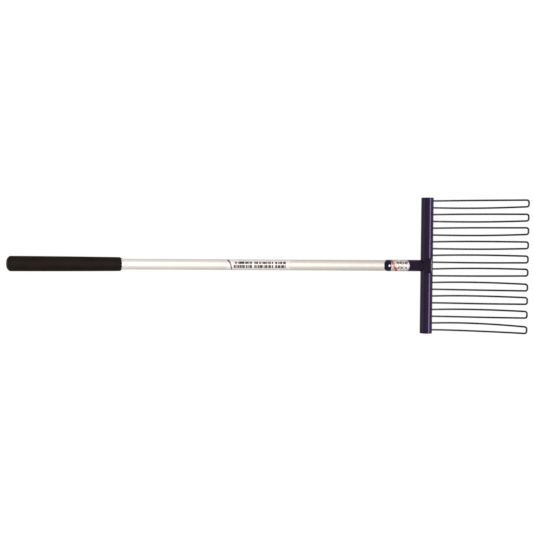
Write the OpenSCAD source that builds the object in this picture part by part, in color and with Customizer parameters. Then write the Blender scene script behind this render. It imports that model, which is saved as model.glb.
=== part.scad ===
// Long-handled bedding fork: a rubber-gripped aluminium handle, a painted tube
// head and ten closed wire loops as tines. It lies flat, dished side up.
// +X runs from the grip to the tine tips, +Y along the head bar, +Z up.

/* [Overall] */
// Grip end to tine tips
overall_len = 1362; // [1280:0.2:1460]
// Bar axis to the tips of the tines
tine_reach = 260; // [250:0.2:280]

/* [Handle] */
// Outside diameter of the aluminium tube
tube_d = 28; // [26:0.1:28]
// Wall of the aluminium tube
tube_wall = 1.5; // [1:0.1:2.5]
// Length of the rubber grip
grip_len = 301.2; // [200:0.2:400]
// Grip diameter at the closed end
grip_d_end = 39.9; // [38:0.1:43]
// Grip diameter at the open end
grip_d_mouth = 36; // [34:0.1:38]
// Rounding of the closed end
grip_round = 9.4; // [6:0.2:9.4]
// Thickness of the rubber across the closed end
grip_floor = 5; // [3:0.5:10]
// Rounding of the lip at the open end
grip_lip = 6; // [5:0.5:9]

/* [Socket] */
// Outside diameter of the painted socket
socket_d = 30; // [29.6:0.1:32]
// Mouth of the socket to the bar axis
socket_len = 112; // [95:0.1:130]
// Rounding of the mouth seen from above
socket_corner = 11; // [6:0.5:12]
// Width of the saddle lapped over the bar
saddle_w = 34; // [30:0.5:40]
// Thickness of the saddle
saddle_t = 2.2; // [1.5:0.1:3]
// Where the saddle ends on the tine side, up from level
saddle_front = 50; // [30:1:60]
// Socket mouth to the rivet
rivet_x = 12.3; // [10:0.1:16]
// Diameter of the rivet head
rivet_head_d = 7; // [6:0.1:9]

/* [Head] */
// Diameter of the head bar
bar_d = 32.2; // [30:0.1:34]
// Wall of the head bar
bar_wall = 2; // [1.5:0.1:3]
// Length of the head bar
bar_len = 356; // [350:0.5:400]

/* [Tines] */
// Diameter of the tine wire
wire_d = 4; // [3:0.1:4]
// Spacing of the loops along the bar
loop_pitch = 35.7; // [34:0.02:36]
// Leg to leg across a loop at the bar
loop_root_w = 17.8; // [16:0.1:20]
// Leg to leg across a loop at the tip
loop_tip_w = 17.4; // [16:0.1:20]
// Rounding of the loop's two corners
loop_corner = 5.8; // [4:0.1:7]
// Radius of the dish
dish_r = 300; // [260:5:340]
// Sideways lean of each dished leg
leg_lean = 3.1; // [0:0.1:4]
// Turn of each loop away from its neighbour
fan_step = 0.19; // [0:0.01:0.4]

/* [Labels] */
// Distance from the bar axis to the near end of the handle label
label_gap = 356.8; // [330:0.2:380]
// Length of the handle label
label_len = 168; // [120:1:180]
// Length of the socket label
sticker_len = 48.2; // [40:0.2:54]
// Radius of the socket label's curved end seen from above
sticker_bow = 25; // [17:0.5:30]
// Thickness of both labels
label_t = 0.15; // [0.1:0.05:0.3]

/* [Hidden] */
$fn = 64;
cut = 1;
loops = 10;
play = 0.1;

tube_r = tube_d / 2;
grip_r = grip_d_end / 2;
mouth_r = grip_d_mouth / 2;
socket_r = socket_d / 2;
socket_in = tube_r + play;
bar_r = bar_d / 2;
wire_r = wire_d / 2;
axis_z = grip_r;

grip_x = -overall_len / 2;
bar_x = overall_len / 2 - tine_reach;
mouth_x = bar_x - socket_len;

// The wire starts inside the bar's wall, and root_depth keeps its end off the far side.
root_depth = 3.4;
stub_len = 4;
// The wire leaves the bar downwards, touches the ground and climbs to its tip.
root_r = bar_r - root_depth;
belly = axis_z - wire_r;
dip = acos((dish_r - belly) / norm([dish_r, root_r])) - atan(root_r / dish_r);
bow = loop_corner;
climb_x = tine_reach - wire_r - root_r * cos(dip) - dish_r * sin(dip);
rise = asin(climb_x / norm([dish_r, bow])) - atan(bow / dish_r);
root_x = root_r * cos(dip);
root_z = -root_r * sin(dip);
tip_x = root_x + dish_r * (sin(dip) + sin(rise));
tip_z = root_z + dish_r * (cos(dip) - cos(rise));
sweep = dip + rise;
toe_in = atan((loop_root_w - loop_tip_w) / 2 / (tip_x - root_x));
// Where the wire changes curve it is a hair thicker, as a cold bend is.
knuckle_r = wire_r + 0.06;
bead_r = 3.1;
hole_r = wire_r + 0.2;
hole_len = 12;

// The rivet: its shank, the upset collar inside the tube and the dome outside.
shank_r = 2.4;
shank_play = 0.05;
collar_r = 3.2;
collar_h = 1.6;
collar_drop = 0.6;
shank_len = 6;
dome_r = 5.2;
// The labels' reach round their tubes, and the socket label's distance from the rivet.
film_wrap = 72;
sticker_wrap = 78;
sticker_gap = 4.4;
// The saddle's rear edge, the sweep of its side beads and the beads' sizes.
saddle_back = 168;
side_sweep = saddle_back - saddle_front - 44;
weld_r = 2.4;
weld_lift = 0.5;
weld_start = 4;
tack_r = 3.4;
tube_clear = 2;

rubber = [0.14, 0.12, 0.11];
alloy = [0.86, 0.86, 0.85];
paint = [0.17, 0.13, 0.21];
white = [0.93, 0.93, 0.92];

// ---------- helpers ----------
module along_x(x) {
  translate([x, 0, axis_z]) rotate([0, 90, 0]) children();
}

module at_bar() {
  translate([bar_x, 0, axis_z]) children();
}

module bar_solid(r, len = bar_len) {
  at_bar() rotate([90, 0, 0]) cylinder(r = r, h = len, center = true);
}

// Rounds the two corners of an end at x, seen from above. The body is on its +X side.
module round_corners(x, half_w, r) {
  for (s = [-1, 1])
    translate([x, s * half_w, 0])
      difference() {
        translate([-cut, s > 0 ? -r : -cut, 0]) cube([r + cut, r + cut, 2 * axis_z]);
        translate([r, -s * r, -cut]) cylinder(r = r, h = 2 * axis_z + 2 * cut);
      }
}

// A thin sheet lying on the top of a tube from x0 over len, wrap degrees each way.
module wrapped_label(x0, len, r, wrap) {
  along_x(x0) rotate([0, 0, 180 - wrap])
    rotate_extrude(angle = 2 * wrap) translate([r, 0]) square([label_t, len]);
}

// ---------- handle ----------
module grip() {
  lip_x = mouth_r - grip_lip;
  lip_z = grip_len - sqrt(grip_lip * grip_lip - pow(tube_r - lip_x, 2));
  color(rubber) along_x(grip_x) difference() {
    rotate_extrude() {
      square([grip_r - grip_round, grip_round]);
      translate([grip_r - grip_round, grip_round]) circle(r = grip_round);
      polygon([[0, grip_round], [grip_r, grip_round], [mouth_r, lip_z], [0, lip_z]]);
      translate([lip_x, lip_z]) circle(r = grip_lip);
    }
    translate([0, 0, grip_floor]) cylinder(r = tube_r, h = grip_len);
  }
}

module handle_tube() {
  from = grip_x + grip_floor;
  len = bar_x - bar_r - tube_clear - from;
  color(alloy) difference() {
    along_x(from) cylinder(r = tube_r, h = len);
    along_x(from - cut) cylinder(r = tube_r - tube_wall, h = len + 2 * cut);
    rivet_hole();
  }
}

module handle_label() {
  color(white) wrapped_label(bar_x - label_gap - label_len, label_len, tube_r, film_wrap);
}

// ---------- socket ----------
module rivet_hole() {
  translate([mouth_x + rivet_x, 0, axis_z]) cylinder(r = shank_r + shank_play, h = socket_r + cut);
}

module saddle() {
  at_bar() rotate([90, 0, 0]) rotate([0, 0, saddle_front])
    rotate_extrude(angle = saddle_back - saddle_front) translate([bar_r, -saddle_w / 2])
      square([saddle_t, saddle_w]);
}

module socket() {
  color(paint) difference() {
    union() {
      along_x(mouth_x) cylinder(r = socket_r, h = socket_len);
      saddle();
    }
    along_x(mouth_x - cut) cylinder(r = socket_in, h = socket_len);
    bar_solid(bar_r);
    round_corners(mouth_x, socket_r, socket_corner);
    rivet_hole();
  }
}

module socket_rivet() {
  inner = axis_z + tube_r - tube_wall - collar_h;
  drop = sqrt(dome_r * dome_r - pow(rivet_head_d / 2, 2));
  color(alloy) {
    difference() {
      translate([mouth_x + rivet_x, 0, axis_z + socket_r - drop]) sphere(r = dome_r);
      along_x(mouth_x) cylinder(r = socket_r, h = 3 * rivet_x);
    }
    translate([mouth_x + rivet_x, 0, inner]) cylinder(r = shank_r, h = shank_len);
    translate([mouth_x + rivet_x, 0, inner - collar_drop]) cylinder(r = collar_r, h = collar_h);
  }
}

module socket_label() {
  from = mouth_x + rivet_x + sticker_gap;
  middle = from + sticker_len - sticker_bow;
  color(white) difference() {
    wrapped_label(from, sticker_len, socket_r, sticker_wrap);
    difference() {
      translate([middle, -sticker_bow, 0]) cube([2 * sticker_bow, 2 * sticker_bow, 2 * axis_z]);
      translate([middle, 0, -cut]) cylinder(r = sticker_bow, h = 2 * axis_z + 2 * cut);
    }
  }
}

// A bead down each side of the saddle and one along its front edge.
module saddle_weld() {
  color(paint) difference() {
    at_bar() {
      for (s = [-1, 1])
        rotate([90, 0, 0]) translate([0, 0, s * saddle_w / 2]) rotate([0, 0, saddle_front + weld_start])
          rotate_extrude(angle = side_sweep) translate([bar_r + weld_lift, 0]) circle(r = weld_r);
      rotate([0, weld_start + 1 - saddle_front, 0]) translate([bar_r + weld_lift, 0, 0]) rotate([90, 0, 0])
        cylinder(r = weld_r, h = saddle_w - 2 * weld_r - 1, center = true);
    }
    bar_solid(bar_r);
    at_bar() rotate([90, 0, 0]) rotate([0, 0, saddle_front])
      rotate_extrude(angle = saddle_back - saddle_front) translate([0, -saddle_w / 2])
        square([bar_r + saddle_t, saddle_w]);
  }
}

// Four tacks under the joint, where the socket's lower half butts on the bar.
module socket_tacks() {
  color(paint) difference() {
    for (s = [-1, 1], t = [20, 50])
      at_bar() translate([-sqrt(bar_r * bar_r - pow(socket_r * cos(t), 2)), s * socket_r * sin(t),
        -socket_r * cos(t)]) sphere(r = tack_r);
    bar_solid(bar_r);
    along_x(mouth_x) cylinder(r = socket_r, h = socket_len);
  }
}

// ---------- head ----------
module head_bar() {
  color(paint) difference() {
    bar_solid(bar_r);
    bar_solid(bar_r - bar_wall, bar_len + 2 * cut);
    for (i = [1:loops], s = [-1, 1])
      at_loop(i) translate([0, s * loop_root_w / 2, 0]) rotate([0, 90 + dip, 0])
        translate([0, 0, bar_r - hole_len / 2]) cylinder(r = hole_r, h = hole_len);
  }
}

module at_loop(i) {
  slot = (loops + 1) / 2 - i;
  translate([bar_x, slot * loop_pitch, axis_z]) rotate([0, 0, slot * fan_step]) children();
}

module leg(s) {
  translate([(root_x + tip_x) / 2, s * (loop_root_w + loop_tip_w) / 4, (root_z + tip_z) / 2])
    rotate([0, 0, -s * toe_in]) rotate([0, -(rise - dip) / 2, 0]) rotate([90 + s * leg_lean, 0, 0])
      translate([0, dish_r * cos(sweep / 2), 0]) rotate([0, 0, -90 - sweep / 2])
        rotate_extrude(angle = sweep, $fn = 360) translate([dish_r, 0]) circle(r = wire_r, $fn = 32);
}

module root_stub(s) {
  translate([root_x, s * loop_root_w / 2, root_z]) {
    sphere(r = knuckle_r);
    rotate([0, dip - 90, 0]) cylinder(r = wire_r, h = stub_len);
  }
}

// The closed end: two rounded corners and a short crosspiece.
module bow_end() {
  flat = loop_tip_w / 2 - loop_corner;
  translate([tip_x, 0, tip_z]) rotate([0, -rise, 0]) {
    for (s = [-1, 1]) {
      translate([0, s * loop_tip_w / 2, 0]) rotate([0, 0, 90]) sphere(r = knuckle_r);
      translate([loop_corner, s * flat, 0]) sphere(r = knuckle_r);
      translate([0, s * flat, 0]) rotate([0, 0, s > 0 ? 0 : -90])
        rotate_extrude(angle = 90) translate([loop_corner, 0]) circle(r = wire_r);
    }
    translate([loop_corner, flat, 0]) rotate([90, 0, 0]) cylinder(r = wire_r, h = 2 * flat);
  }
}

module tine(i) {
  color(paint) at_loop(i) {
    for (s = [-1, 1]) {
      leg(s);
      root_stub(s);
    }
    bow_end();
  }
}

module tine_welds() {
  color(paint) for (i = [1:loops], s = [-1, 1])
    difference() {
      at_loop(i) translate([bar_r * cos(dip), s * loop_root_w / 2, -bar_r * sin(dip)])
        sphere(r = bead_r);
      bar_solid(bar_r);
      at_loop(i) leg(s);
    }
}

grip();
handle_tube();
handle_label();
socket();
socket_rivet();
socket_label();
saddle_weld();
socket_tacks();
head_bar();
tine_welds();
tine(1);  // tine_01
tine(2);  // tine_02
tine(3);  // tine_03
tine(4);  // tine_04
tine(5);  // tine_05
tine(6);  // tine_06
tine(7);  // tine_07
tine(8);  // tine_08
tine(9);  // tine_09
tine(10);  // tine_10
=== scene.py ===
"""Long-handled bedding fork, lying dished side up on a white floor and seen from almost straight above."""

import math
import random

import bmesh
import bpy
from mathutils import Matrix, Vector, noise


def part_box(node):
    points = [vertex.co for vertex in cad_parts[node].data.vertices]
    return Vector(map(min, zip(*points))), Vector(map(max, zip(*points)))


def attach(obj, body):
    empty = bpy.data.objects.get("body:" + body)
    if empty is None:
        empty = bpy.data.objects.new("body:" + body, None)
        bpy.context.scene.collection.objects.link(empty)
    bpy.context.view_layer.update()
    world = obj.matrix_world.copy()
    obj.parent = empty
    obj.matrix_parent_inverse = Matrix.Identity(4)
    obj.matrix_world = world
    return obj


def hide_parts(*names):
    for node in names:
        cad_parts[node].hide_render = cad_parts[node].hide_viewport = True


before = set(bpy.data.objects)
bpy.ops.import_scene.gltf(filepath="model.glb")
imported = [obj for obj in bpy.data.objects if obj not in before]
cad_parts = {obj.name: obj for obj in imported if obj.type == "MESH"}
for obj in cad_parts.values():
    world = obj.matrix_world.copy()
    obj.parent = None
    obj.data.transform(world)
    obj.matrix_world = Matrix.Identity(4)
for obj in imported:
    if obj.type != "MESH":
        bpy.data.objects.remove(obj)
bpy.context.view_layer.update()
MM = 0.001

# ---------------------------------------------------------------- places read off the frame
bar_lo, bar_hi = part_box("head_bar")
BAR_X = (bar_lo.x + bar_hi.x) / 2
AXIS_Z = (bar_lo.z + bar_hi.z) / 2  # the handle and the bar are both centred at this height
BAR_R = (bar_hi.x - bar_lo.x) / 2
grip_lo, grip_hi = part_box("grip")
tube_lo, tube_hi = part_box("handle_tube")
TUBE_R = (tube_hi.y - tube_lo.y) / 2
SOCKET_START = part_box("socket")[0].x
SOCKET_R = 15 * MM
FILM_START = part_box("handle_label")[0].x
sticker_lo, sticker_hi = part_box("socket_label")
rivet_lo, rivet_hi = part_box("socket_rivet")
RIVET_X = (rivet_lo.x + rivet_hi.x) / 2

# ---------------------------------------------------------------- camera
FIELD = 1.4018  # width of the view at the handle's height
DISTANCE = 2.1
PITCH_DOWN, ROLL = math.radians(2.45), math.radians(0.29)
AIM = Vector((-0.1 * MM, -4.4 * MM, AXIS_Z))
SENSOR = 36
camera = bpy.data.cameras.new("camera")
camera.sensor_width = SENSOR
camera.lens = SENSOR * DISTANCE / FIELD
camera.clip_end = 100
camera_object = bpy.data.objects.new("camera", camera)
turned = Matrix.Rotation(-PITCH_DOWN, 4, "X") @ Matrix.Rotation(ROLL, 4, "Z")
camera_object.matrix_world = Matrix.Translation(AIM) @ turned @ Matrix.Translation((0, 0, DISTANCE))
bpy.context.collection.objects.link(camera_object)
bpy.context.scene.camera = camera_object


# ---------------------------------------------------------------- material helpers
class Look:
    """A node material with short ways to add the nodes that the looks below need."""

    def __init__(self, name, **settings):
        self.material = bpy.data.materials.new(name)
        self.material.use_nodes = True
        self.tree = self.material.node_tree
        self.shader = self.tree.nodes["Principled BSDF"]
        for key, value in settings.items():
            self.shader.inputs[key.replace("_", " ").title().replace("Ior", "IOR")].default_value = value
        self.place = self.node("ShaderNodeTexCoord").outputs["Object"]

    def node(self, kind, **settings):
        made = self.tree.nodes.new(kind)
        for key, value in settings.items():
            setattr(made, key, value)
        return made

    def put(self, socket, value):
        if hasattr(value, "is_output"):
            self.tree.links.new(value, socket)
        else:
            socket.default_value = value

    def math(self, operation, a, b=0.0):
        made = self.node("ShaderNodeMath", operation=operation)
        self.put(made.inputs[0], a)
        self.put(made.inputs[1], b)
        return made.outputs[0]

    def apart(self, a, b=0.0):
        """How far a is from b, without its sign."""
        return self.math("ABSOLUTE", self.math("SUBTRACT", a, b))

    def length(self, a, b):
        """The long side of a right triangle with the sides a and b."""
        return self.math("SQRT", self.math("ADD", self.math("POWER", a, 2), self.math("POWER", b, 2)))

    def axis(self, which):
        split = self.node("ShaderNodeSeparateXYZ")
        self.put(split.inputs[0], self.place)
        return split.outputs[which]

    def stretch(self, *scale):
        made = self.node("ShaderNodeMapping")
        self.put(made.inputs["Vector"], self.place)
        made.inputs["Scale"].default_value = scale
        return made.outputs[0]

    def noise(self, scale, detail, vector=None):
        made = self.node("ShaderNodeTexNoise")
        self.put(made.inputs["Vector"], vector or self.place)
        made.inputs["Scale"].default_value = scale
        made.inputs["Detail"].default_value = detail
        made.inputs["Roughness"].default_value = 0.55
        return made.outputs[0]

    def remap(self, value, a, b, low, high):
        made = self.node("ShaderNodeMapRange")
        self.put(made.inputs["Value"], value)
        for key, number in (("From Min", a), ("From Max", b), ("To Min", low), ("To Max", high)):
            made.inputs[key].default_value = number
        return made.outputs[0]

    def mix(self, factor, a, b):
        made = self.node("ShaderNodeMix", data_type="RGBA")
        self.put(made.inputs[0], factor)
        for socket, colour in ((made.inputs[6], a), (made.inputs[7], b)):
            self.put(socket, colour if hasattr(colour, "is_output") else (*colour, 1))
        return made.outputs[2]

    def colour(self, value):
        self.put(self.shader.inputs["Base Color"], value)

    def rough(self, value):
        self.put(self.shader.inputs["Roughness"], value)

    def bump(self, *layers):
        """Each layer is (height socket, distance in metres, strength)."""
        normal = None
        for height, distance, strength in layers:
            made = self.node("ShaderNodeBump")
            made.inputs["Distance"].default_value = distance
            made.inputs["Strength"].default_value = strength
            self.put(made.inputs["Height"], height)
            if normal:
                self.put(made.inputs["Normal"], normal)
            normal = made.outputs[0]
        self.put(self.shader.inputs["Normal"], normal)


# ---------------------------------------------------------------- rubber, metal and paint
def rubber_look():
    look = Look("grip_rubber", specular_ior_level=0.08)
    cloudy = look.noise(28, 4)
    grain = look.noise(1500, 2)
    dark = look.mix(look.remap(cloudy, 0.35, 0.7, 0, 1), (0.0078, 0.0041, 0.003), (0.0138, 0.0078, 0.0054))
    dark = look.mix(look.remap(grain, 0.58, 0.75, 0, 0.3), dark, (0.03, 0.022, 0.019))
    # painted highlight: the butt end is coloured paler where light from the left falls on it
    lit_butt = look.remap(look.axis("X"), grip_lo.x + 4.8 * MM, grip_lo.x + 7.4 * MM, 1, 0)
    look.colour(look.mix(lit_butt, dark, (0.045, 0.031, 0.016)))
    look.rough(look.remap(cloudy, 0.3, 0.7, 0.52, 0.68))
    look.bump((grain, 0.12 * MM, 0.5), (look.noise(160, 3), 0.2 * MM, 0.25))
    return look.material


def aluminium_look():
    """Drawn tube with fine lines along it, with painted shade that darkens it towards the socket."""
    look = Look("tube_aluminium", metallic=0.3, specular_ior_level=0.2)
    drawn = look.noise(1, 3, look.stretch(6, 1400, 1400))
    cloudy = look.noise(14, 3)
    body = look.mix(look.remap(drawn, 0.3, 0.7, 0, 1), (0.74, 0.665, 0.6), (0.85, 0.77, 0.705))
    # painted shade: the colour darkens along the tube towards the socket
    shade_near_socket = look.remap(look.axis("X"), -0.38, 0.29, 0, 0.65)
    look.colour(look.mix(shade_near_socket, body, (0.55, 0.485, 0.43)))
    lines = look.remap(drawn, 0.3, 0.7, 0.34, 0.46)
    look.rough(look.math("ADD", lines, look.remap(cloudy, 0.3, 0.7, -0.04, 0.04)))
    look.bump((drawn, 0.03 * MM, 0.35))
    return look.material


def paint_look(name, deep, light, roughness, clouds=30, tint=(0.86, 0.74, 1)):
    """Sprayed paint, clouded from deep to light and lightly specked."""
    look = Look(name, specular_ior_level=0.32, specular_tint=(*tint, 1))
    cloudy = look.noise(clouds, 4)
    peel = look.noise(420, 2)
    speck = look.noise(900, 1)
    body = look.mix(look.remap(cloudy, 0.35, 0.7, 0, 1), deep, light)
    look.colour(look.mix(look.remap(speck, 0.74, 0.8, 0, 0.5), body, (0.12, 0.11, 0.13)))
    look.rough(look.remap(cloudy, 0.3, 0.7, roughness - 0.03, roughness + 0.05))
    look.bump((peel, 0.05 * MM, 0.12))
    return look.material


def rivet_look():
    """A bright crown, longer across the socket than along it, inside a dark flange."""
    look = Look("rivet_aluminium", metallic=0.6, roughness=0.3)
    fine = look.noise(1800, 2)
    bright = look.mix(look.remap(fine, 0.4, 0.7, 0, 1), (0.95, 0.95, 0.95), (0.86, 0.86, 0.87))
    across = look.math("MULTIPLY", look.axis("Y"), 0.72)
    out = look.length(look.math("SUBTRACT", look.axis("X"), RIVET_X), across)
    uneven = look.math("MULTIPLY", look.math("SUBTRACT", look.noise(700, 2), 0.5), 0.8 * MM)
    # the colour turns dark from about 2.1 mm out, which keeps the bright metal to an oval crown
    dark_flange = look.remap(look.math("ADD", out, uneven), 2.1 * MM, 2.5 * MM, 0, 1)
    look.colour(look.mix(dark_flange, bright, (0.03, 0.022, 0.05)))
    look.rough(look.remap(fine, 0.3, 0.7, 0.28, 0.42))
    return look.material


RUBBER = rubber_look()
ALUMINIUM = aluminium_look()
HEAD_PAINT = paint_look("head_paint", (0.0138, 0.0062, 0.0238), (0.0186, 0.0088, 0.031), 0.14)
SOCKET_PAINT = paint_look("socket_paint", (0.018, 0.008, 0.029), (0.027, 0.0125, 0.042), 0.34)
# partly painted highlight: the weld's paint clouds up to a pale lilac that stands in for the glints its
# lumps catch
WELD_PAINT = paint_look("weld_paint", (0.045, 0.034, 0.052), (0.22, 0.195, 0.235), 0.38, clouds=130)
WIRE_PAINT = paint_look("wire_paint", (0.021, 0.019, 0.018), (0.034, 0.031, 0.029), 0.34,
                        tint=(1, 0.97, 0.93))
RIVET_METAL = rivet_look()


# ---------------------------------------------------------------- looks of the two labels
def box_mask(look, x, y, centre, half, soft):
    """1 inside a rectangle about centre, fading to 0 over soft."""
    along, across = (look.remap(look.apart(place, middle), reach - soft, reach + soft, 1, 0)
                     for place, middle, reach in zip((x, y), centre, half))
    return look.math("MULTIPLY", along, across)


def any_of(look, masks):
    total = masks[0]
    for mask in masks[1:]:
        total = look.math("MAXIMUM", total, mask)
    return total


def broken(look, x, step, seed, fill):
    """A 1-D random pattern, on or off along x: plain marks of uneven length."""
    made = look.node("ShaderNodeTexNoise", noise_dimensions="1D")
    look.put(made.inputs["W"], look.math("ADD", look.math("DIVIDE", x, step), seed))
    made.inputs["Scale"].default_value = 1.0
    made.inputs["Detail"].default_value = 1.0
    return look.remap(made.outputs[0], fill, fill + 0.05, 0, 1)


def printed_row(look, x, y, groups, line, half):
    """Marks from (start, end) along the label, all on one line across it; every length is in mm."""
    masks = []
    for a, b in groups:
        centre = ((a + b) / 2 * MM, line * MM)
        masks.append(box_mask(look, x, y, centre, ((b - a) / 2 * MM, half * MM), 0.4 * MM))
    return any_of(look, masks)


def handle_label_look():
    """Two rows of plain dark marks, with a bowed stroke before them and a faint bar after them."""
    look = Look("handle_label_film", specular_ior_level=0.4, metallic=0.15)
    x, y = look.math("SUBTRACT", look.axis("X"), FILM_START), look.axis("Y")
    groups = ((18.5, 66), (71, 121), (126.5, 154))
    row1 = printed_row(look, x, y, groups, 5.6, 2.9)
    row1 = look.math("MULTIPLY", row1, broken(look, x, 3.3 * MM, 8.3, 0.405))
    row2 = printed_row(look, x, y, groups, -3.9, 4.1)
    row2 = look.math("MULTIPLY", row2, broken(look, x, 3.1 * MM, 17.9, 0.4))
    # the stroke is a quarter of an ellipse
    out = look.math("DIVIDE", look.math("SUBTRACT", x, -1 * MM), 13.2 * MM)
    up = look.math("DIVIDE", look.math("ADD", y, 12.4 * MM), 25 * MM)
    stroke = look.remap(look.apart(look.length(out, up), 1), 0.09, 0.15, 1, 0)
    stroke = look.math("MULTIPLY", stroke, look.remap(up, -0.02, 0.02, 0, 1))
    stroke = look.math("MULTIPLY", stroke, look.remap(x, 0, 1.5 * MM, 0, 1))
    end_mark = printed_row(look, x, y, ((164.6, 166.6),), 0, 7.5)
    end_mark = look.math("MULTIPLY", end_mark, look.remap(look.apart(y), 2 * MM, 3.5 * MM, 0, 1))
    ink = any_of(look, [row1, look.math("MULTIPLY", row2, 0.93), look.math("MULTIPLY", end_mark, 0.35)])
    paper = look.mix(look.remap(look.noise(60, 2), 0.3, 0.7, 0, 1), (0.68, 0.61, 0.57), (0.78, 0.71, 0.67))
    paper = look.mix(look.math("MULTIPLY", stroke, 0.94), paper, (0.15, 0.1, 0.088))
    look.colour(look.mix(ink, paper, (0.012, 0.006, 0.005)))
    look.rough(look.remap(look.noise(120, 2), 0.3, 0.7, 0.42, 0.55))
    look.bump((look.noise(90, 2), 0.05 * MM, 0.2))
    return look.material


def socket_label_look():
    """Scuffed silver film with a red slash, two rows of plain marks and a paler rim at its bowed end."""
    look = Look("socket_label_film", specular_ior_level=0.4, metallic=0.2)
    x, y = look.math("SUBTRACT", look.axis("X"), sticker_lo.x), look.axis("Y")
    off = look.math("ADD", look.math("SUBTRACT", x, 7.4 * MM), look.math("MULTIPLY", y, 0.52))
    slash = look.remap(look.apart(off), 3.0 * MM, 4.8 * MM, 1, 0)
    row1 = printed_row(look, x, y, ((14.4, 20.2), (21.4, 28.8), (30.4, 33.4), (35.2, 43.2)), 7.6, 3.2)
    row2 = printed_row(look, x, y, ((18, 21.8), (24.6, 30.6), (36.4, 41)), -5.4, 2.2)
    patchy = look.remap(look.noise(420, 2), 0.36, 0.5, 0.65, 1)
    marks = look.math("MULTIPLY", any_of(look, [row1, look.math("MULTIPLY", row2, 0.9)]), patchy)
    bow = 25 * MM
    from_centre = look.math("SUBTRACT", x, sticker_hi.x - sticker_lo.x - bow)
    rim = look.remap(look.length(from_centre, y), bow - 3.2 * MM, bow - 2.4 * MM, 0, 1)
    rim = look.math("MULTIPLY", rim, look.remap(from_centre, 0, 5 * MM, 0, 1))
    base = look.mix(look.remap(look.noise(300, 2), 0.4, 0.6, 0, 1), (0.38, 0.345, 0.30), (0.80, 0.72, 0.68))
    base = look.mix(look.math("MULTIPLY", rim, 0.9), base, (0.45, 0.40, 0.53))
    # painted highlight: the red slash is faded across its middle, where the bright band of light crosses
    # the film
    faded_in_highlight = look.remap(look.apart(y), 1 * MM, 4 * MM, 0.4, 0.93)
    base = look.mix(look.math("MULTIPLY", slash, faded_in_highlight), base, (0.40, 0.075, 0.055))
    look.colour(look.mix(look.math("MULTIPLY", marks, 0.88), base, (0.045, 0.026, 0.024)))
    look.rough(look.remap(look.noise(200, 2), 0.3, 0.7, 0.26, 0.42))
    look.bump((look.noise(140, 2), 0.06 * MM, 0.3))
    return look.material


FILM, SILVER = handle_label_look(), socket_label_look()


# ---------------------------------------------------------------- mesh helpers
def new_object(name, mesh, material, slot, *nodes):
    for face in mesh.polygons:
        face.use_smooth = True
    mesh.materials.append(material)
    piece = bpy.data.objects.new(name, mesh)
    bpy.context.collection.objects.link(piece)
    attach(piece, "root")
    if nodes:
        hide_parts(*nodes)


def to_mesh(bm, name):
    mesh = bpy.data.meshes.new(name)
    bm.to_mesh(mesh)
    bm.free()
    return mesh


def circle(sides):
    """The angles of points spaced evenly round a circle."""
    return [2 * math.pi * k / sides for k in range(sides)]


def rings_to_mesh(name, rings):
    """A tube of quads through rings of points, with a fan of triangles at each end."""
    bm = bmesh.new()
    rows = [[bm.verts.new(p) for p in ring] for ring in rings]
    for a, b in zip(rows, rows[1:]):
        for i in range(len(a)):
            j = (i + 1) % len(a)
            bm.faces.new((a[i], a[j], b[j], b[i]))
    for row in (rows[0], rows[-1]):
        tip = bm.verts.new(sum((v.co for v in row), Vector()) / len(row))
        for i in range(len(row)):
            bm.faces.new((row[i], row[(i + 1) % len(row)], tip))
    bmesh.ops.recalc_face_normals(bm, faces=bm.faces)
    return to_mesh(bm, name)


def swept(name, points, radii, sides=14):
    """A round wire through points, with a radius for each."""
    side = None
    rings = []
    for i, (p, r) in enumerate(zip(points, radii)):
        ahead = points[min(i + 1, len(points) - 1)] - points[max(i - 1, 0)]
        ahead.normalize()
        side = ahead.orthogonal() if side is None else side - ahead * side.dot(ahead)
        side.normalize()
        up = ahead.cross(side)
        rings.append([p + (side * math.cos(a) + up * math.sin(a)) * r for a in circle(sides)])
    return rings_to_mesh(name, rings)


def lumpy(mesh, size, amount, seed):
    """Pushes the surface in and out by up to amount, in lumps of about size."""
    offset = Vector((seed * 7.3, seed * 3.1, seed * 5.7))
    normals = [v.normal.copy() for v in mesh.vertices]
    for v, n in zip(mesh.vertices, normals):
        v.co += n * noise.noise(v.co / size + offset) * amount


def add_bead(bm, spot, radius, uneven, size, seed, squash=1.0):
    """Adds a round bead of weld at spot, uneven by that share of its radius and squashed along X."""
    for v in bmesh.ops.create_icosphere(bm, subdivisions=3, radius=radius)["verts"]:
        v.co *= 1 + uneven * noise.noise(v.co / size + seed)
        v.co.x *= squash
        v.co += spot


# ---------------------------------------------------------------- grip
SKIN = 0.4 * MM  # the rubber stands this far proud of the CAD grip
GRIP_NOSE = 9.4 * MM  # rounding of the closed end
GRIP_LIP = 6 * MM  # rounding of the mouth
GRIP_SWELL = 0.35 * MM
GRIP_END_R = (grip_hi.y - grip_lo.y) / 2 + SKIN
GRIP_MOUTH_R = 18 * MM + SKIN


def grip_profile(x0, x1):
    """(x, radius) pairs of the outside, from the middle of the closed end to the mouth."""
    outer = []
    for k in range(12, -1, -1):
        a = math.pi / 2 * k / 12
        outer.append((x0 + GRIP_NOSE * (1 - math.sin(a)), GRIP_END_R - GRIP_NOSE + GRIP_NOSE * math.cos(a)))
    flat = [(x0, outer[0][1] * share) for share in (0.25, 0.6)]
    lip_x = x1 - math.sqrt(GRIP_LIP ** 2 - (TUBE_R - (GRIP_MOUTH_R - GRIP_LIP)) ** 2)
    body = []
    for k in range(1, 60):
        r = GRIP_END_R + (GRIP_MOUTH_R - GRIP_END_R) * k / 60 + GRIP_SWELL * math.sin(math.pi * k / 60)
        body.append((x0 + GRIP_NOSE + (lip_x - x0 - GRIP_NOSE) * k / 60, r))
    edge = []
    for k in range(11):
        a = math.asin((x1 - lip_x) / GRIP_LIP) * k / 10
        edge.append((lip_x + GRIP_LIP * math.sin(a), GRIP_MOUTH_R - GRIP_LIP + GRIP_LIP * math.cos(a)))
    return flat + outer + body + edge


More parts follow.
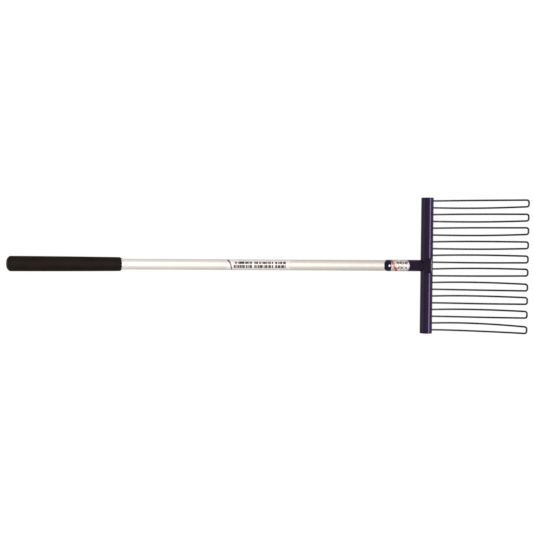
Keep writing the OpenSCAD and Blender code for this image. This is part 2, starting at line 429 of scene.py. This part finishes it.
def add_moulded_line(profile, line_x):
    """Raises a fine line round the shoulder, with five more stations to carry it."""
    extra = []
    for d in (-0.9, -0.45, 0, 0.45, 0.9):
        x = line_x + d * MM
        for (xa, ra), (xb, rb) in zip(profile, profile[1:]):
            if xa < x <= xb:
                extra.append((x, ra + (rb - ra) * (x - xa) / (xb - xa)))
    raised = []
    for x, r in sorted(profile + extra, key=lambda station: station[0]):
        if x > profile[0][0] + 1 * MM:
            r += 0.28 * MM * math.exp(-((x - line_x) / (0.5 * MM)) ** 2)
        raised.append((x, r))
    return raised


def bow_mouth(ring, x, radius):
    """The mouth isn't cut quite square: it bows out above and below and draws back at the sides."""
    share = max(0, 1 - (grip_hi.x - x) / (25 * MM))
    bowed = []
    for px, py, pz in ring:
        upright = (pz - AXIS_Z) / max(TUBE_R, radius)
        bow = (math.sqrt(upright ** 2 + 0.04) - 0.2) / 0.82
        bowed.append((px + (4.4 * bow - 2.4) * MM * share, py, pz))
    return bowed


def build_grip():
    x0, x1 = grip_lo.x, grip_hi.x
    profile = add_moulded_line(grip_profile(x0, x1), x0 + 7 * MM)
    # the bore, from the mouth inwards to its floor
    profile += [(x1, TUBE_R), (x1 - 20 * MM, TUBE_R), (x0 + 5 * MM, TUBE_R), (x0 + 5 * MM, 2 * MM)]
    rings = []
    for x, r in profile:
        ring = [(x, r * math.cos(a), AXIS_Z + r * math.sin(a)) for a in circle(72)]
        rings.append(bow_mouth(ring, x, r))
    new_object("grip_sleeve", rings_to_mesh("grip_sleeve", rings), RUBBER, "grip_rubber", "grip")


# ---------------------------------------------------------------- tines
TINES = 10
DISH_R = 300 * MM
WIRE_R = 2 * MM
COATED_R = 2.3 * MM  # with its paint
ROOT_R = BAR_R - 3.4 * MM
ROOT_W, TIP_W, CORNER = 17.8 * MM, 17.4 * MM, 5.8 * MM
BELLY = AXIS_Z - WIRE_R
REACH = 260 * MM
PITCH, FAN = 35.7 * MM, math.radians(0.19)
DIP = math.acos((DISH_R - BELLY) / math.hypot(DISH_R, ROOT_R)) - math.atan(ROOT_R / DISH_R)
CLIMB = REACH - WIRE_R - ROOT_R * math.cos(DIP) - DISH_R * math.sin(DIP)
RISE = math.asin(CLIMB / math.hypot(DISH_R, CORNER)) - math.atan(CORNER / DISH_R)
BULGE = 1.4 * MM
TIP_SWAY = (-0.8, -1, 0.4, 0.2, -0.1, 2.2, -0.2, 1.4, 1.8, -2)  # mm each tip is bent towards +Y
BELLY_BOW = (0.4, 0.5, 0.5, 0.5, 0.3, -0.2, 0.4, 0.7, 0.7, 0.9)  # mm each middle is bent towards -Y


def loop_path(sway, bow, twist):
    """Centre line of one loop about its own middle, from root to root."""
    leg = []
    steps = 46
    for k in range(steps + 1):
        u = k / steps
        a = -DIP + (DIP + RISE) * u
        x = ROOT_R * math.cos(DIP) + DISH_R * (math.sin(DIP) + math.sin(a))
        z = -ROOT_R * math.sin(DIP) + DISH_R * (math.cos(DIP) - math.cos(a))
        half = (ROOT_W + (TIP_W - ROOT_W) * u) / 2 + BULGE * math.sin(math.pi * u)
        leg.append((x, half, z, u))
    ahead = Vector((math.cos(RISE), 0, math.sin(RISE)))
    tip = Vector((leg[-1][0], 0, leg[-1][2]))
    half = leg[-1][1]
    corner = []
    for k in range(1, 9):
        a = math.pi / 2 * k / 8
        p = tip + ahead * (CORNER * math.sin(a))
        corner.append((p.x, half - CORNER + CORNER * math.cos(a), p.z, 1.0))
    inside = [((ROOT_R - d * MM) * math.cos(DIP), ROOT_W / 2, (d * MM - ROOT_R) * math.sin(DIP), 0.0)
              for d in (4, 2)]
    side = inside + leg + corner
    path = []
    for x, y, z, u in side + [(x, -y, z, u) for x, y, z, u in side[::-1]]:
        aside = sway * u ** 2.4 - bow * math.sin(math.pi * u ** 1.3)
        path.append(Vector((x, y + aside, z + twist * (y / half) * u ** 2)))
    return path


def tine_place(i):
    """Puts a loop's own middle line at its root on the bar, turned by its share of the fan."""
    slot = (TINES - 1) / 2 - i
    return Matrix.Translation((BAR_X, slot * PITCH, AXIS_Z)) @ Matrix.Rotation(slot * FAN, 4, "Z")


def build_tines():
    rng = random.Random(11)
    for i in range(TINES):
        place = tine_place(i)
        path = loop_path(TIP_SWAY[i] * MM, BELLY_BOW[i] * MM, rng.uniform(-0.5, 0.5) * MM)
        name = f"wire_loop_{i + 1:02d}"
        mesh = swept(name, [place @ p for p in path], [COATED_R] * len(path))
        new_object(name, mesh, WIRE_PAINT, "wire_paint", f"tine_{i + 1:02d}")


def build_tine_welds():
    """A bead round each wire where it enters the bar."""
    bm = bmesh.new()
    rng = random.Random(5)
    for i in range(TINES):
        for s in (-1, 1):
            spot = tine_place(i) @ Vector((BAR_R * math.cos(DIP), s * ROOT_W / 2, -BAR_R * math.sin(DIP)))
            seed = Vector((rng.random() * 50, rng.random() * 50, 0))
            add_bead(bm, spot, 2.9 * MM, 0.16, 1.6 * MM, seed, squash=0.8)
    new_object("root_beads", to_mesh(bm, "root_beads"), HEAD_PAINT, "head_paint", "tine_welds")


# ---------------------------------------------------------------- socket and saddle
def build_socket_tube():
    """The socket: a mouth with rounded corners, and an end cut to sit on the bar."""
    corner = 11 * MM
    turns, cols = 96, 25
    bm = bmesh.new()
    skins = []
    for r in (SOCKET_R, TUBE_R + 0.1 * MM):
        skin = []
        for a in circle(turns):
            y, z = r * math.sin(a), r * math.cos(a)
            over = max(0, abs(y) - (SOCKET_R - corner))
            start = SOCKET_START - 1.2 * MM + corner - math.sqrt(max(0, corner ** 2 - over ** 2))
            end = BAR_X - math.sqrt(max(0, (BAR_R - 0.3 * MM) ** 2 - z ** 2))
            skin.append([bm.verts.new((start + (end - start) * t / (cols - 1), y, AXIS_Z + z))
                         for t in range(cols)])
        skins.append(skin)
    following = [(i, (i + 1) % turns) for i in range(turns)]
    for skin in skins:
        for i, n in following:
            for j in range(cols - 1):
                bm.faces.new((skin[i][j], skin[n][j], skin[n][j + 1], skin[i][j + 1]))
    outer, inner = skins
    for j in (0, cols - 1):
        for i, n in following:
            bm.faces.new((outer[i][j], outer[n][j], inner[n][j], inner[i][j]))
    bmesh.ops.recalc_face_normals(bm, faces=bm.faces)
    new_object("socket_tube", to_mesh(bm, "socket_tube"), SOCKET_PAINT, "head_paint", "socket")


def sheet(name, top, bottom):
    """A closed plate from two grids of points with the same number of rows and columns."""
    bm = bmesh.new()
    skins = [[[bm.verts.new(p) for p in row] for row in grid] for grid in (top, bottom)]
    rows, cols = len(top), len(top[0])
    for skin in skins:
        for i in range(rows - 1):
            for j in range(cols - 1):
                bm.faces.new((skin[i][j], skin[i + 1][j], skin[i + 1][j + 1], skin[i][j + 1]))
    edge = [(i, 0) for i in range(rows)] + [(rows - 1, j) for j in range(1, cols)]
    edge += [(i, cols - 1) for i in range(rows - 2, -1, -1)] + [(0, j) for j in range(cols - 2, 0, -1)]
    for (a, b), (c, d) in zip(edge, edge[1:] + edge[:1]):
        bm.faces.new((skins[0][a][b], skins[0][c][d], skins[1][c][d], skins[1][a][b]))
    bmesh.ops.recalc_face_normals(bm, faces=bm.faces)
    return to_mesh(bm, name)


def build_saddle():
    """A flattened tongue that runs off the socket's top and turns down over the bar."""
    crest = BAR_R + 2.1 * MM
    thickness = Vector((0, 0, 2.4 * MM))
    top = []
    for i in range(41):
        t = i / 40
        rise = SOCKET_R + (crest - SOCKET_R) * min(1, t / 0.4) ** 0.6
        drop = max(0, (t - 0.66) / 0.34)
        z = rise - 3.2 * MM * (1 - math.sqrt(max(0, 1 - drop ** 2)))
        half = (13.2 + 4.4 * min(1, t / 0.45)) * MM
        row = []
        for k in range(31):
            v = -1 + 2 * k / 30
            sag = 1.9 * MM * (max(0, abs(v) - 0.72) / 0.28) ** 2
            row.append(Vector((BAR_X - 11.5 * MM + 19.4 * MM * t, half * v, AXIS_Z + z - sag)))
        top.append(row)
    bottom = [[p - thickness for p in row] for row in top]
    new_object("socket_saddle", sheet("socket_saddle", top, bottom), SOCKET_PAINT, "head_paint")


def bar_point(degrees, y, r):
    a = math.radians(degrees)
    return Vector((BAR_X + r * math.cos(a), y, AXIS_Z + r * math.sin(a)))


def build_saddle_weld():
    """Rippled beads along the saddle's front edge and back along both of its sides."""
    side = 17.5 * MM
    bar_side = BAR_R + 0.5 * MM
    front, back = 59, 108  # degrees round the bar, from the tines' side
    across = [bar_point(front - 3 * math.sin(math.pi * k / 120), side - 2 * side * k / 120, bar_side)
              for k in range(121)]
    beads = [("saddle_bead", across, 2.6 * MM, WELD_PAINT, ["saddle_weld"])]
    for name, y in (("saddle_bead_a", side), ("saddle_bead_b", -side)):
        path = [bar_point(front + (back - front) * k / 70, y, bar_side) for k in range(71)]
        beads.append((name, path, 1.9 * MM, SOCKET_PAINT, []))
    for name, path, thick, paint, nodes in beads:
        step = (path[1] - path[0]).length
        radii = []
        for i, p in enumerate(path):
            ripple = 0.07 * math.cos(2 * math.pi * i * step / (2.4 * MM))
            taper = min(1, (min(i, len(path) - 1 - i) + 1) / 6) ** 0.5
            radii.append(thick * (1 + ripple + 0.2 * noise.noise(p / (4.5 * MM))) * taper)
        mesh = swept(name, path, radii, 20)
        lumpy(mesh, 4 * MM, 0.5 * MM, 3)
        new_object(name, mesh, paint, "head_paint", *nodes)


def build_tacks():
    """Four tacks under the joint, where the socket's end meets the bar."""
    bm = bmesh.new()
    for s in (-1, 1):
        for a in (math.radians(20), math.radians(50)):
            z = -SOCKET_R * math.cos(a)
            spot = Vector((BAR_X - math.sqrt(BAR_R ** 2 - z ** 2), s * SOCKET_R * math.sin(a), AXIS_Z + z))
            add_bead(bm, spot, 3.2 * MM, 0.14, 1.8 * MM, spot * 900)
    new_object("tack_beads", to_mesh(bm, "tack_beads"), HEAD_PAINT, "head_paint", "socket_tacks")


# ---------------------------------------------------------------- rivet
RIVET_TOP = AXIS_Z + SOCKET_R + 1.45 * MM
# (radius, height above RIVET_TOP) in mm: the snapped stem, the crown and the flange
RIVET_PROFILE = ((0.9, -0.35), (1.05, -0.1), (1.25, 0.0), (1.6, -0.02), (2.2, -0.2),
                 (2.9, -0.62), (3.3, -1.1), (3.5, -1.6), (3.4, -2.3))


def build_rivet():
    """A blind rivet: a low dome with the snapped stem sunk in its middle."""
    rings = [[(RIVET_X + r * MM * math.cos(a), r * MM * math.sin(a), RIVET_TOP + rise * MM)
              for a in circle(40)] for r, rise in RIVET_PROFILE]
    mesh = rings_to_mesh("rivet_head", rings)
    new_object("rivet_head", mesh, RIVET_METAL, "rivet_aluminium", "socket_rivet")


# ---------------------------------------------------------------- all the pieces
for node, material in (("handle_tube", ALUMINIUM), ("head_bar", HEAD_PAINT),
                       ("handle_label", FILM), ("socket_label", SILVER)):
    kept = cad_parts[node].data.materials
    kept.clear()
    kept.append(material)

build_grip()
build_tines()
build_tine_welds()
build_socket_tube()
build_saddle()
build_saddle_weld()
build_tacks()
build_rivet()


# ---------------------------------------------------------------- floor and light
def flag(lamp, name, lit):
    """Keeps a lamp's light off everything that isn't in lit."""
    flagged = bpy.data.collections.new(name)
    for piece in lit:
        flagged.objects.link(piece)
    lamp.light_linking.receiver_collection = flagged


def build_floor():
    """A floor that glows white but lights only itself."""
    bm = bmesh.new()
    bmesh.ops.create_grid(bm, x_segments=2, y_segments=2, size=30)
    mesh = to_mesh(bm, "floor")
    floor = bpy.data.objects.new("floor", mesh)
    floor.location.z = -0.5 * MM
    bpy.context.collection.objects.link(floor)
    look = Look("floor_white", roughness=0.9, specular_ior_level=0.0)
    look.shader.inputs["Base Color"].default_value = (0.1, 0.1, 0.1, 1)
    look.shader.inputs["Emission Color"].default_value = (1, 1, 1, 1)
    look.shader.inputs["Emission Strength"].default_value = 0.965
    mesh.materials.append(look.material)
    flag(floor, "floor_glow", [floor])


def softbox(name, place, target, size, power, colour, lit):
    """An area lamp, flagged so that it only falls on the pieces in lit."""
    light = bpy.data.lights.new(name, "AREA")
    light.shape = "RECTANGLE"
    light.size, light.size_y = size
    light.energy = power
    light.color = colour
    lamp = bpy.data.objects.new(name, light)
    lamp.location = place
    lamp.rotation_euler = (Vector(target) - Vector(place)).to_track_quat("-Z", "Y").to_euler()
    lamp.visible_camera = False
    bpy.context.collection.objects.link(lamp)
    flag(lamp, name + "_lit", lit)


def painted_with(*looks):
    return [piece for piece in bpy.data.objects
            if piece.type == "MESH" and piece.data.materials and piece.data.materials[0] in looks]


build_floor()
handle = painted_with(ALUMINIUM, RUBBER, FILM, SILVER, RIVET_METAL)
head = painted_with(HEAD_PAINT, WELD_PAINT)
wires = painted_with(WIRE_PAINT)
socket = painted_with(SOCKET_PAINT)
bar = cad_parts["head_bar"]
bar_middle = (BAR_X, 0, AXIS_Z)
softbox("overhead", (-0.25, 0.35, 2.9), (-0.2, 0, 0), (2.6, 3.7), 103, (0.93, 0.965, 1.0), handle)
softbox("stripe", (2.22, 0, 1.72), bar_middle, (3.0, 0.9), 86, (0.88, 0.83, 1.0), head + wires)
softbox("far_wall", (-2.2, 0, 0.8), bar_middle, (3.0, 1.3), 10, (0.92, 0.85, 1.0), [bar])
# this one stands in for the floor's glow, which would wash out the wires
softbox("bounce", (0, 0, -0.45 * MM), (0, 0, 1), (4, 3), 20, (1, 0.98, 0.97), handle + socket + head)
world = bpy.data.worlds.new("studio")
world.use_nodes = True
sky = world.node_tree.nodes["Background"]
sky.inputs["Color"].default_value = (1, 1, 1, 1)
sky.inputs["Strength"].default_value = 0.5
bpy.context.scene.world = world
bpy.context.scene.view_settings.view_transform = "Standard"
